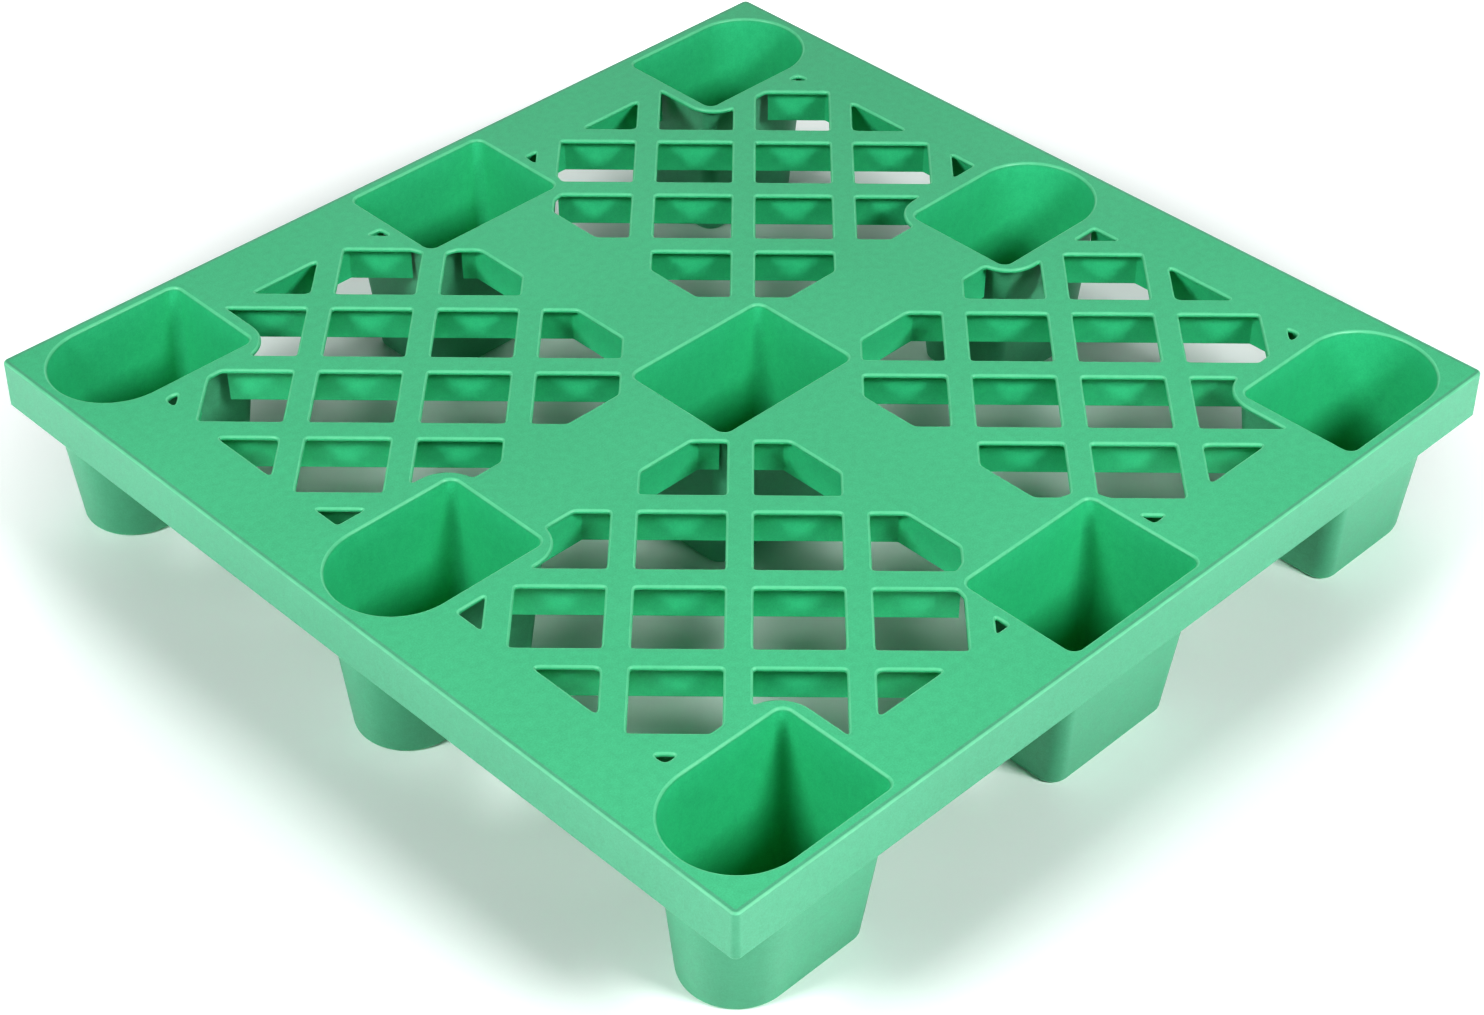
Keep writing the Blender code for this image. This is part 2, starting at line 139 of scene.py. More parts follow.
# ---------------------------------------------------------------- looks of the plastic
# linear colours, each as its deepest and its lightest tone
DECK_GREENS = (0.078, 0.476, 0.246, 1), (0.102, 0.578, 0.306, 1)
LOW_GREENS_PAINTED_BRIGHTER = (0.060, 0.560, 0.278, 1), (0.078, 0.655, 0.336, 1)     # below the deck, a deeper and brighter green: painted light that lifts the shaded hollows
OUTER_SHEEN_GREENS = (0.104, 0.384, 0.233, 1), (0.132, 0.470, 0.290, 1)   # outer faces, paler and greyer: a painted sheen
PAINTED_CORNER_REFLECTION = (0.050, 0.290, 0.160, 1)     # vertical corners: a painted dark reflection, deeper again
PAINTED_CORNER_REFLECTION_SHARE = 0.35     # how much of the painted dark reflection the corners of the outer faces take
# pale green of rubbed edges and scuffs; on the round edges it is also a painted highlight
PALE_WEAR_AND_HIGHLIGHT_GREEN = (0.24, 0.74, 0.44, 1)
EDGE_WEAR_AND_HIGHLIGHT_SHARE = 0.65     # how much of it the rubbed edges take, as wear and as a painted highlight
SCUFF_SHARE = 0.12      # and the scuffs
SCUFF_WAYS = (0.6, -0.9)        # directions of the scuffs, in radians
SCUFF_SHAPE = (6, 420, 1)       # a scuff is long one way and thin the other
ROUGH = 0.44
ROUGH_SPREAD = 0.05
SCUFF_ROUGH = 0.10      # scuffs are this much rougher
RUBBED_SMOOTH = 0.06    # and rubbed edges this much smoother
IOR = 1.49              # polypropylene
CLOUDS = 4              # spots to the metre: broad clouds in the colour
CLOUD_SHARE = 0.45
MOTTLE = 150            # flow marks under a centimetre across
MOTTLE_SHARE = 0.60
SPECKS = 900            # fine pigment specks
SPECK_SHARE = 0.80
EDGE_WEAR_AND_HIGHLIGHT_PATCHES = 45               # patches in the rubbing and the painted highlight of the edges
SCUFF_AREAS = 7         # patches of the deck that are scuffed
WAVES = 22              # slight unevenness of the faces
WAVE_HEIGHT = 0.0004
WAVE_STRENGTH = 0.5
GRAIN = 1400            # fine grain of the mould
GRAIN_HEIGHT = 0.00006
GRAIN_STRENGTH = 0.35

# ---------------------------------------------------------------- looks of the studio
WHITE = (1, 1, 1, 1)
FLOOR_HALF = 20
FLOOR_COLOUR = (0.88, 0.92, 0.91, 1)
FLOOR_ROUGH = 0.6
GLOW = 0.4              # the floor glows from GLOW_START on, measured from the middle
GLOW_START = 0.45
GLOW_FULL = 0.75
FAR_GLOW = 0.5          # added where the lights no longer reach
FAR_START = 1.5
FAR_FULL = 4.0
BACKDROP = 0.80         # strength of the backdrop, up to a little above the horizon
OVERHEAD = 0.03         # and overhead
FADE_START = 0.12       # upward part of the direction where the one turns into the other
FADE_END = 0.32
# name, azimuth, elevation, distance, side of the square, power in watts
LIGHTS = (("key_left", -96.8, 39.5, 2.86, 0.75, 36),
          ("key_right", 6.8, 39.5, 2.86, 0.75, 40.5),
          ("back_panel", 135, 39, 2.8, 2.6, 13))
CAMERA_AZIMUTH = -44.82         # degrees, like the next two
CAMERA_ELEVATION = 39.20
CAMERA_ROLL = 0.301
CAMERA_AIM = Vector((-0.1200, -0.1219, 0.140))
CAMERA_DISTANCE = 2.048
CAMERA_LENS = 69.32             # millimetres, on a sensor of SENSOR_WIDTH
SENSOR_WIDTH = 36


# ---------------------------------------------------------------- plane outlines
def arc(cx, cy, r, start, stop, steps):
    """Points on an arc, angles in degrees, both ends included."""
    out = []
    for i in range(steps + 1):
        a = math.radians(start + (stop - start) * i / steps)
        out.append((cx + r * math.cos(a), cy + r * math.sin(a)))
    return out


def rounded_box(x0, x1, y0, y1, radii, steps=RIM_STEPS):
    """Counter-clockwise rectangle; the four corner radii start at the +X+Y corner."""
    corners = ((x1, y1, -1, -1, 0), (x0, y1, 1, -1, 90), (x0, y0, 1, 1, 180), (x1, y0, -1, 1, 270))
    out = []
    for (cx, cy, sx, sy, start), r in zip(corners, radii):
        if r > 0:
            out += arc(cx + sx * r, cy + sy * r, r, start, start + 90, steps)
        else:
            out.append((cx, cy))
    return out


def area(poly):
    """Area of an outline, below zero if it runs clockwise."""
    total = 0.0
    for i, (x, y) in enumerate(poly):
        nx, ny = poly[(i + 1) % len(poly)]
        total += x * ny - nx * y
    return total / 2


def clip(poly, nx, ny, limit):
    """Part of a convex outline where nx * x + ny * y <= limit."""
    out = []
    for i, a in enumerate(poly):
        b = poly[(i + 1) % len(poly)]
        da = nx * a[0] + ny * a[1] - limit
        db = nx * b[0] + ny * b[1] - limit
        if da <= 0:
            out.append(a)
        if (da < 0 < db) or (db < 0 < da):
            t = da / (da - db)
            out.append((a[0] + (b[0] - a[0]) * t, a[1] + (b[1] - a[1]) * t))
    return out


def resample(poly):
    """The same outline with a point every OUTLINE_STEP."""
    out = []
    for i, a in enumerate(poly):
        b = poly[(i + 1) % len(poly)]
        n = max(1, int(math.dist(a, b) / OUTLINE_STEP))
        out += [(a[0] + (b[0] - a[0]) * k / n, a[1] + (b[1] - a[1]) * k / n) for k in range(n)]
    return out


def soften(poly, r):
    """Round every corner of an outline by averaging it along its own length, twice."""
    pts = resample(poly)
    m = len(pts)
    reach = max(1, int(r / OUTLINE_STEP / 2))
    window = range(-reach, reach + 1)
    for _ in range(2):
        xs = [sum(pts[(i + k) % m][0] for k in window) / len(window) for i in range(m)]
        ys = [sum(pts[(i + k) % m][1] for k in window) / len(window) for i in range(m)]
        pts = list(zip(xs, ys))
    return pts


def thin(points):
    """Drop the points of an open line that lie within CHORD of the line through those kept."""
    (ax, ay), (bx, by) = points[0], points[-1]
    size = math.dist(points[0], points[-1])
    far, at = 0.0, 0
    for i in range(1, len(points) - 1):
        px, py = points[i]
        off = abs((bx - ax) * (ay - py) - (ax - px) * (by - ay)) / size
        if off > far:
            far, at = off, i
    if far <= CHORD:
        return [points[0], points[-1]]
    return thin(points[: at + 1])[:-1] + thin(points[at:])


def simplify(poly):
    """Closed outline without the points that its shape doesn't need."""
    start = max(range(len(poly)), key=lambda i: poly[i][0])
    ring = poly[start:] + poly[:start]
    half = max(range(len(ring)), key=lambda i: math.dist(ring[i], ring[0]))
    return thin(ring[: half + 1])[:-1] + thin(ring[half:] + ring[:1])[:-1]


def grow(poly, d):
    """Counter-clockwise outline moved outwards by d, with mitred corners."""
    out = []
    for i, (x, y) in enumerate(poly):
        (ax, ay), (bx, by) = poly[i - 1], poly[(i + 1) % len(poly)]
        first, second = math.hypot(x - ax, y - ay), math.hypot(bx - x, by - y)
        nx, ny = (y - ay) / first, (ax - x) / first
        mx, my = (by - y) / second, (x - bx) / second
        share = d / (1 + nx * mx + ny * my)
        out.append((x + share * (nx + mx), y + share * (ny + my)))
    return out


# ---------------------------------------------------------------- layout of the deck
def keep_box(cx, cy):
    """Solid area of the deck round the cup at (cx, cy): x0, x1, y0, y1."""
    y0, y1 = cy - CUP_HALF_Y - KEEP_Y, cy + CUP_HALF_Y + KEEP_Y
    if cx == 0:
        return -CUP_HALF_X - KEEP_X, CUP_HALF_X + KEEP_X, y0, y1
    flat, outer = CUP_FLAT_X - KEEP_FLAT, 2 * HALF
    return (flat, outer, y0, y1) if cx > 0 else (-outer, -flat, y0, y1)


def inside_keep(p, keep):
    """Whether p lies in the solid area, whose corners are rounded by KEEP_R."""
    x0, x1, y0, y1 = keep
    dx = abs(p[0] - (x0 + x1) / 2) - ((x1 - x0) / 2 - KEEP_R)
    dy = abs(p[1] - (y0 + y1) / 2) - ((y1 - y0) / 2 - KEEP_R)
    return math.hypot(max(dx, 0), max(dy, 0)) + min(max(dx, dy), 0) < KEEP_R


def cut_keep(poly, keep):
    """Outline with the solid area round a cup taken away; both are walked counter-clockwise."""
    flags = [inside_keep(p, keep) for p in poly]
    if not any(flags):
        return [poly]
    if all(flags):
        return []
    border = resample(rounded_box(*keep, (KEEP_R,) * 4))
    m, n = len(poly), len(border)
    pieces = []
    for i in range(m):
        if flags[i - 1] and not flags[i]:
            run = []
            j = i
            while not flags[j % m]:
                run.append(poly[j % m])
                j += 1
            k = min(range(n), key=lambda at: math.dist(border[at], run[-1]))
            last = min(range(n), key=lambda at: math.dist(border[at], run[0]))
            while k != last:
                run.append(border[k])
                k = (k - 1) % n
            pieces.append(run)
    return pieces


def cell(i, j, width):
    """Square between neighbouring bars or ribs of that width, turned by 45 degrees."""
    edge = width / 2 / PITCH
    low_i, high_i = i + edge, i + 1 - edge
    low_j, high_j = j + edge, j + 1 - edge
    corners = ((low_i, low_j), (low_i, high_j), (high_i, high_j), (high_i, low_j))
    unit = PITCH / math.sqrt(2)
    outline = [((u + v) * unit, (v - u) * unit) for u, v in corners]
    return outline if area(outline) > 0 else outline[::-1]


def cells(sx, sy, width, near, far, smallest):
    """Squares of one quadrant of the deck, cut off at near and far from both centre lines."""
    reach = int(FIELD_OUT * 2 / PITCH / math.sqrt(2)) + 1
    limits = ((-sx, 0, -near), (sx, 0, far), (0, -sy, -near), (0, sy, far))
    out = []
    for i in range(-reach, reach):
        for j in range(-reach, reach):
            outline = cell(i, j, width)
            for nx, ny, limit in limits:
                if outline:
                    outline = clip(outline, nx, ny, limit)
            if len(outline) > 2 and area(outline) > smallest:
                out.append(outline)
    return out


def openings(sx, sy):
    """All openings of one quadrant of the deck, as counter-clockwise outlines."""
    keeps = [keep_box(cx, cy) for cx in (0, sx * LEG_AT) for cy in (0, sy * LEG_AT)]
    out = []
    for outline in cells(sx, sy, BAR, FIELD_IN, FIELD_OUT, SMALLEST_CELL):
        parts = [resample(outline)]
        for keep in keeps:
            parts = [piece for part in parts for piece in cut_keep(part, keep)]
        r = TRIANGLE_R if len(outline) == 3 else CELL_R
        out += [simplify(soften(part, r)) for part in parts if area(part) > SMALLEST_CELL]
    return out


def rim_box(cx, cy):
    """The straight sides of the rim that a leg carries at deck level."""
    x0, x1, y0, y1 = keep_box(cx, cy)
    return (max(x0 + LEDGE, -INNER), min(x1 - LEDGE, INNER),
            max(y0 + LEDGE, -INNER), min(y1 - LEDGE, INNER))


# strips and panels lie between the rim of the middle leg and the rims of the outer legs
NEAR_X, NEAR_Y = rim_box(0, 0)[1], rim_box(0, 0)[3]
FAR_X, FAR_Y = rim_box(LEG_AT, LEG_AT)[0], rim_box(LEG_AT, LEG_AT)[2]


def rim_outline(cx, cy):
    """Outline of a leg's rim: round corners inside the deck, square ones at the band."""
    x0, x1, y0, y1 = rim_box(cx, cy)
    radii = []
    for px, py in ((x1, y1), (x0, y1), (x0, y0), (x1, y0)):
        at_edge = abs(px) == INNER or abs(py) == INNER
        radii.append(0 if at_edge else RIM_R)
    return rounded_box(x0, x1, y0, y1, radii)


def panel_outline(sx, sy):
    """Outline of a grid panel: a square with a bite for the rim of the leg at each corner."""
    line = []
    for start, cx, cy, turn, stop in (
            ((NEAR_X, NEAR), NEAR_X - RIM_R, NEAR_Y - RIM_R, 0, (NEAR, NEAR_Y)),
            ((NEAR, FAR_Y), NEAR_X - RIM_R, FAR_Y + RIM_R, 270, (NEAR_X, BORDER)),
            ((FAR_X, BORDER), FAR_X + RIM_R, FAR_Y + RIM_R, 180, (BORDER, FAR_Y)),
            ((BORDER, NEAR_Y), FAR_X + RIM_R, NEAR_Y - RIM_R, 90, (FAR_X, NEAR))):
        line += [start] + arc(cx, cy, RIM_R, turn, turn + 90, RIM_STEPS) + [stop]
    outline = [(sx * x, sy * y) for x, y in line]
    if area(outline) < 0:
        outline.reverse()
    return outline


def leg_outline(cx, cy, z, wall):
    """Outline of a leg at height z; wall 0 is the cavity and WALL the outside."""
    t = 1 - z / TOP
    half_y = CUP_HALF_Y + wall - DRAFT_Y * t
    r = CUP_R + wall + (LEG_R - CUP_R - WALL) * t
    if cx == 0:
        half_x = CUP_HALF_X + wall - DRAFT_X * t
        return rounded_box(-half_x, half_x, cy - half_y, cy + half_y, (r,) * 4, CORNER_STEPS)
    flat = CUP_FLAT_X - wall + DRAFT_FLAT * t
    right = arc(LEG_AT, 0, half_y, -90, 90, ROUND_END_STEPS)
    right += arc(flat + r, half_y - r, r, 90, 180, CORNER_STEPS)
    right += arc(flat + r, r - half_y, r, 180, 270, CORNER_STEPS)
    if cx > 0:
        return [(x, y + cy) for x, y in right]
    return [(-x, y + cy) for x, y in reversed(right)]


# ---------------------------------------------------------------- meshes
def quarter(r, steps):
    """Quarter of a circle as (along, down) pairs: from (r, 0) on the flat to (0, r) on the wall."""
    out = []
    for i in range(steps + 1):
        a = math.radians(90 * i / steps)
        out.append((r * (1 - math.sin(a)), r * (1 - math.cos(a))))
    return out


class Moulding:
    """A closed mesh put together from stacked outlines and flat areas between them."""

    def __init__(self):
        self.bm = bmesh.new()

    def ring(self, outline, z):
        """New points of the outline at height z."""
        return [self.bm.verts.new((x, y, z)) for x, y in outline]

    def wall(self, rings):
        """Faces between each ring and the next: outer rings are listed upwards, hollow ones down."""
        for low, high in zip(rings, rings[1:]):
            for i in range(len(low)):
                self.bm.faces.new((low[i - 1], low[i], high[i], high[i - 1]))

    def flat(self, rings, way):
        """Flat area bounded by the first ring, with the others as holes in it."""
        edges = []
        for ring in rings:
            for i in range(len(ring)):
                pair = (ring[i - 1], ring[i])
                edges.append(self.bm.edges.get(pair) or self.bm.edges.new(pair))
        before = set(self.bm.faces)
        bmesh.ops.triangle_fill(self.bm, use_beauty=True, edges=edges)
        for face in self.bm.faces:
            if face not in before:
                face.normal_update()
                if face.normal.z * way < 0:
                    face.normal_flip()

    def solid(self, rings):
        """Closed body through the rings, which are listed upwards."""
        self.wall(rings)
        self.flat([rings[0]], DOWN)
        self.flat([rings[-1]], UP)

    def body(self):
        """The mesh of the closed body."""
        mesh = bpy.data.meshes.new("body")
        self.bm.to_mesh(mesh)
        self.bm.free()
        return mesh


def combine(mesh, other, operation):
    """Boolean of two closed meshes, worked out on objects that are then removed."""
    target, tool = [bpy.data.objects.new("body", data) for data in (mesh, other)]
    for ob in (target, tool):
        bpy.context.scene.collection.objects.link(ob)
    mod = target.modifiers.new("combine", "BOOLEAN")
    mod.operation = operation
    mod.solver = "EXACT"
    mod.object = tool
    graph = bpy.context.evaluated_depsgraph_get()
    done = bpy.data.meshes.new_from_object(target.evaluated_get(graph))
    for ob in (target, tool):
        bpy.data.objects.remove(ob)
    return done


def finish(mesh, node, slot, *materials):
    """Shade a body and make it the visible piece that stands for its CAD node.

    A new body has no materials. One that comes out of a Boolean may have an empty slot, which is
    cleared; clearing also resets the faces' own material numbers, so it isn't done to the others.
    """
    mesh.name = node + "_moulding"
    mesh.shade_smooth()
    mesh.set_sharp_from_angle(angle=SHARP)
    if mesh.materials:
        mesh.materials.clear()
    for material in materials:
        mesh.materials.append(material)
    piece = bpy.data.objects.new(node + "_moulding", mesh)
    bpy.context.scene.collection.objects.link(piece)
    normals = piece.modifiers.new("flat faces stay flat", "WEIGHTED_NORMAL")
    normals.keep_sharp = True
    normals.weight = 90
    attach(piece, "root")
    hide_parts(node)


# ---------------------------------------------------------------- material
class Nodes:
    """Short ways to add and join shader nodes."""

    def __init__(self, mat):
        mat.use_nodes = True
        self.tree = mat.node_tree
        self.surface = self.tree.nodes["Principled BSDF"]

    def add(self, kind, inputs, **settings):
        """New node; an input is either a value or another node's output."""
        node = self.tree.nodes.new(kind)
        for name, value in settings.items():
            setattr(node, name, value)
        for name, value in inputs.items():
            self.put(node.inputs[name], value)
        return node

    def put(self, socket, value):
        if isinstance(value, bpy.types.NodeSocket):
            self.tree.links.new(value, socket)
        else:
            socket.default_value = value

    def math(self, operation, first, second):
        return self.add("ShaderNodeMath", {0: first, 1: second}, operation=operation).outputs[0]

    def noise(self, place, scale, detail):
        """Grey noise about 0.5, with that many spots to the metre."""
        inputs = {"Vector": place, "Scale": scale, "Detail": detail}
        return self.add("ShaderNodeTexNoise", inputs).outputs[0]

    def band(self, value, start, full):
        """0 before start and 1 past full."""
        inputs = {"Value": value, "From Min": start, "From Max": full}
        return self.add("ShaderNodeMapRange", inputs, interpolation_type="SMOOTHSTEP").outputs[0]

    def span(self, value, low, high):
        """The middle half of a noise, spread from low to high."""
        inputs = {"Value": value, "From Min": 0.25, "From Max": 0.75, "To Min": low, "To Max": high}
        return self.add("ShaderNodeMapRange", inputs).outputs[0]

    def mix(self, share, first, second):
        """Colour between first (share 0) and second (share 1)."""
        inputs = {0: share, 6: first, 7: second}
        return self.add("ShaderNodeMix", inputs, data_type="RGBA").outputs[2]


def green_plastic(name, deck_tones, low_tones, painted_corner_reflection_share):
    """Moulded polypropylene: slightly cloudy green, satin, paler along its round edges, which are
    rubbed and carry a painted highlight.
    """
    mat = bpy.data.materials.new(name)
    n = Nodes(mat)
    place = n.add("ShaderNodeTexCoord", {}).outputs["Object"]
    spot = n.add("ShaderNodeSeparateXYZ", {"Vector": place})
    normal = n.add("ShaderNodeNewGeometry", {}).outputs["Normal"]
    facing = n.add("ShaderNodeSeparateXYZ", {"Vector": normal})
    tilt = n.math("ABSOLUTE", facing.outputs["Z"], 0)

    cloud = n.span(n.noise(place, CLOUDS, 2), -0.5, 0.5)
    mottle = n.span(n.noise(place, MOTTLE, 4), -0.5, 0.5)
    speck = n.span(n.noise(place, SPECKS, 2), -0.5, 0.5)
    shade = n.math("MULTIPLY", cloud, CLOUD_SHARE)
    shade = n.math("ADD", shade, n.math("MULTIPLY", mottle, MOTTLE_SHARE))
    shade = n.math("ADD", shade, n.math("MULTIPLY", speck, SPECK_SHARE))
    shade = n.math("ADD", shade, 0.5)
    # painted light: below the skin the low tones are used, which for the deck material are brighter
    # and lift the shade there
    at_deck = n.band(spot.outputs["Z"], SKIN_LOW, TOP - EDGE_R / 2)
    colour = n.mix(at_deck, n.mix(shade, *low_tones), n.mix(shade, *deck_tones))

    # painted dark reflection on vertical corners and round ends, which face both ways at once
    corner = n.math("MULTIPLY", facing.outputs["X"], facing.outputs["Y"])
    corner = n.band(n.math("ABSOLUTE", corner, 0), 0.10, 0.50)
    colour = n.mix(n.math("MULTIPLY", corner, painted_corner_reflection_share), colour, PAINTED_CORNER_REFLECTION)

    # rubbed edges with a painted highlight: only the round edges of the deck and of the band's foot
    # lean this way
    round_edge = n.math("MULTIPLY", n.band(tilt, 0.20, 0.50), n.band(tilt, 0.999, 0.96))
    near_deck = n.band(spot.outputs["Z"], TOP - 2 * EDGE_R, TOP - EDGE_R)
    near_foot = n.band(spot.outputs["Z"], SKIRT_LOW + 2 * SKIRT_FOOT_R, SKIRT_LOW + SKIRT_FOOT_R)
    edge_wear_and_highlight = n.math("MULTIPLY", round_edge, n.math("MAXIMUM", near_deck, near_foot))
    edge_wear_and_highlight = n.math("MULTIPLY", edge_wear_and_highlight, n.span(n.noise(place, EDGE_WEAR_AND_HIGHLIGHT_PATCHES, 3), 0.55, 1.0))
    colour = n.mix(n.math("MULTIPLY", edge_wear_and_highlight, EDGE_WEAR_AND_HIGHLIGHT_SHARE), colour, PALE_WEAR_AND_HIGHLIGHT_GREEN)

    # scuffs: fine streaks two ways over the faces that carry goods
    streaks = []
    for turn in SCUFF_WAYS:
        inputs = {"Vector": place, "Rotation": (0, 0, turn), "Scale": SCUFF_SHAPE}
        along = n.add("ShaderNodeMapping", inputs).outputs[0]
        streaks.append(n.band(n.noise(along, 1.0, 2), 0.66, 0.78))
    streak = n.math("MAXIMUM", streaks[0], streaks[1])
    streak = n.math("MULTIPLY", streak, n.band(n.noise(place, SCUFF_AREAS, 2), 0.45, 0.62))
    streak = n.math("MULTIPLY", streak, n.band(facing.outputs["Z"], 0.9, 1.0))
    colour = n.mix(n.math("MULTIPLY", streak, SCUFF_SHARE), colour, PALE_WEAR_AND_HIGHLIGHT_GREEN)
    n.put(n.surface.inputs["Base Color"], colour)

    rough = n.span(n.noise(place, MOTTLE, 3), ROUGH - ROUGH_SPREAD, ROUGH + ROUGH_SPREAD)
    rough = n.math("ADD", rough, n.math("MULTIPLY", streak, SCUFF_ROUGH))
    rough = n.math("SUBTRACT", rough, n.math("MULTIPLY", edge_wear_and_highlight, RUBBED_SMOOTH))
    n.put(n.surface.inputs["Roughness"], rough)
    n.surface.inputs["IOR"].default_value = IOR

    waves = {"Height": n.noise(place, WAVES, 1), "Strength": WAVE_STRENGTH, "Distance": WAVE_HEIGHT}
    wavy = n.add("ShaderNodeBump", waves).outputs[0]
    grain = {"Height": n.noise(place, GRAIN, 2), "Strength": GRAIN_STRENGTH, "Distance": GRAIN_HEIGHT}
    n.put(n.surface.inputs["Normal"], n.add("ShaderNodeBump", {**grain, "Normal": wavy}).outputs[0])
    return mat


PLASTIC = green_plastic("green_polypropylene", DECK_GREENS, LOW_GREENS_PAINTED_BRIGHTER, 0)
# the outside material's paler, greyer greens are a painted sheen, and its corners take a painted dark
# reflection
OUTSIDE_SHEEN = green_plastic("green_polypropylene_outside_sheen", OUTER_SHEEN_GREENS, OUTER_SHEEN_GREENS, PAINTED_CORNER_REFLECTION_SHARE)


# ---------------------------------------------------------------- pieces
def make_plate(sx, sy):
    """Deck skin of one quadrant, rounded over and under round every opening."""
    mould = Moulding()
    outline = panel_outline(sx, sy)
    top_holes, low_holes = [], []
    for hole in openings(sx, sy):
        rings = []
        for along, down in quarter(EDGE_R, EDGE_STEPS):
            rings.append(mould.ring(grow(hole, along), TOP - down))
        for along, up in reversed(quarter(SKIN_R, SKIN_STEPS)):
            rings.append(mould.ring(grow(hole, along), SKIN_LOW + up))
        mould.wall(rings)
        top_holes.append(rings[0])
        low_holes.append(rings[-1])
    upper, lower = mould.ring(outline, TOP), mould.ring(outline, SKIN_LOW)
    mould.wall([lower, upper])
    mould.flat([upper] + top_holes, UP)
    mould.flat([lower] + low_holes, DOWN)
    return mould.body()


def make_block(sx, sy):
    """What the ribs of one quadrant are cut from."""
    mould = Moulding()
    x0, x1 = sorted((sx * (NEAR + JOIN), sx * (BORDER - JOIN)))
    y0, y1 = sorted((sy * (NEAR + JOIN), sy * (BORDER - JOIN)))
    outline = rounded_box(x0, x1, y0, y1, (0, 0, 0, 0))
    mould.solid([mould.ring(outline, RIB_LOW), mould.ring(outline, SKIN_MIDDLE)])
    return mould.body()


def make_pockets(sx, sy):
    """Hollows between the ribs of one quadrant, flared where they round a rib's lower edge."""
    mould = Moulding()
    for hollow in cells(sx, sy, WALL, NEAR + FRAME_WALL, BORDER - FRAME_WALL, SMALLEST_POCKET):
        pocket = simplify(soften(hollow, POCKET_R))
        rings = [mould.ring(grow(pocket, RIB_DRAFT + RIB_R), RIB_LOW - OVER)]
        for along, up in quarter(RIB_R, RIB_STEPS):
            rings.append(mould.ring(grow(pocket, RIB_DRAFT + along), RIB_LOW + up))
        rings.append(mould.ring(pocket, SKIN_MIDDLE + OVER))
        mould.solid(rings)
    return mould.body()


def make_bites(sx, sy):
    """Tool that clears the ribs of one quadrant from the rims of its four legs."""
    mould = Moulding()
    inset = LEDGE - JOIN
    for cx in (0, sx * LEG_AT):
        for cy in (0, sy * LEG_AT):
            x0, x1, y0, y1 = keep_box(cx, cy)
            outline = rounded_box(x0 + inset, x1 - inset, y0 + inset, y1 - inset, (RIM_R,) * 4)
            mould.solid([mould.ring(outline, RIB_LOW - OVER), mould.ring(outline, TOP + OVER)])
    return mould.body()


def make_panel(name, sx, sy):
    """One quadrant's grid: the pierced skin joined to its lattice of ribs."""
    ribs = combine(make_block(sx, sy), make_pockets(sx, sy), "DIFFERENCE")
    ribs = combine(ribs, make_bites(sx, sy), "DIFFERENCE")
    finish(combine(make_plate(sx, sy), ribs, "UNION"), name, "green_grid", PLASTIC)


for end, sy in ENDS:
    for side, sx in SIDES:
        make_panel("grid_" + end + "_" + side, sx, sy)


def make_leg(name, cx, cy):
    """A hollow leg with the rim that it carries at deck level."""
    mould = Moulding()
    inside = []
    for along, down in quarter(EDGE_R, EDGE_STEPS):
        inside.append(mould.ring(leg_outline(cx, cy, TOP - down, along), TOP - down))
    for along, up in reversed(quarter(CUP_FLOOR_R, EDGE_STEPS)):
        inside.append(mould.ring(leg_outline(cx, cy, CUP_FLOOR + up, -along), CUP_FLOOR + up))
    mould.wall(inside)
    mould.flat([inside[-1]], UP)
    outside = []
    for along, up in quarter(FOOT_R, FOOT_STEPS):
        outside.append(mould.ring(leg_outline(cx, cy, up, WALL - along), up))
    outside.append(mould.ring(leg_outline(cx, cy, SKIN_LOW, WALL), SKIN_LOW))
    mould.wall(outside)
    mould.flat([outside[0]], DOWN)
    rim = rim_outline(cx, cy)
    upper, lower = mould.ring(rim, TOP), mould.ring(rim, SKIN_LOW)
    mould.wall([lower, upper])
    mould.flat([upper, inside[0]], UP)
    mould.flat([lower, outside[-1]], DOWN)
    mesh = mould.body()
    middle = Vector((sum(rim_box(cx, cy)[:2]) / 2, cy, 0))
    # the outside below the deck takes the second material, the paler outer green with its painted
    # sheen
    for face in mesh.polygons:
        outward = (face.center - middle).dot(face.normal * Vector((1, 1, 0))) > 0
        if face.center.z < SKIN_LOW and (outward or face.normal.z < 0):
            face.material_index = 1
    finish(mesh, name, "green_leg", PLASTIC, OUTSIDE_SHEEN)


for row, y in ROWS:
    for column, x in COLUMNS:
        make_leg("leg_" + row + "_" + column, x, y)


def rib_outline(a0, a1, c0, c1, turned):
    """One long rib with short ones across it, as one outline."""
    half = WALL / 2
    middle = (c0 + c1) / 2
    start, stop = a0 + WEB_INSET, a1 - WEB_INSET
    low, high = c0 + RIB_INSET, c1 - RIB_INSET
    stations = [a0 + (a1 - a0) * (k + 0.5) / CROSS_RIBS for k in range(CROSS_RIBS)]
    line = [(start, middle - half)]
    for at in stations:
        line += [(at - half, middle - half), (at - half, low)]
        line += [(at + half, low), (at + half, middle - half)]
    line += [(stop, middle - half), (stop, middle + half)]
    for at in reversed(stations):
        line += [(at + half, middle + half), (at + half, high)]
        line += [(at - half, high), (at - half, middle + half)]
    line.append((start, middle + half))
    if turned:
        line = [(c, a) for a, c in reversed(line)]
    return line


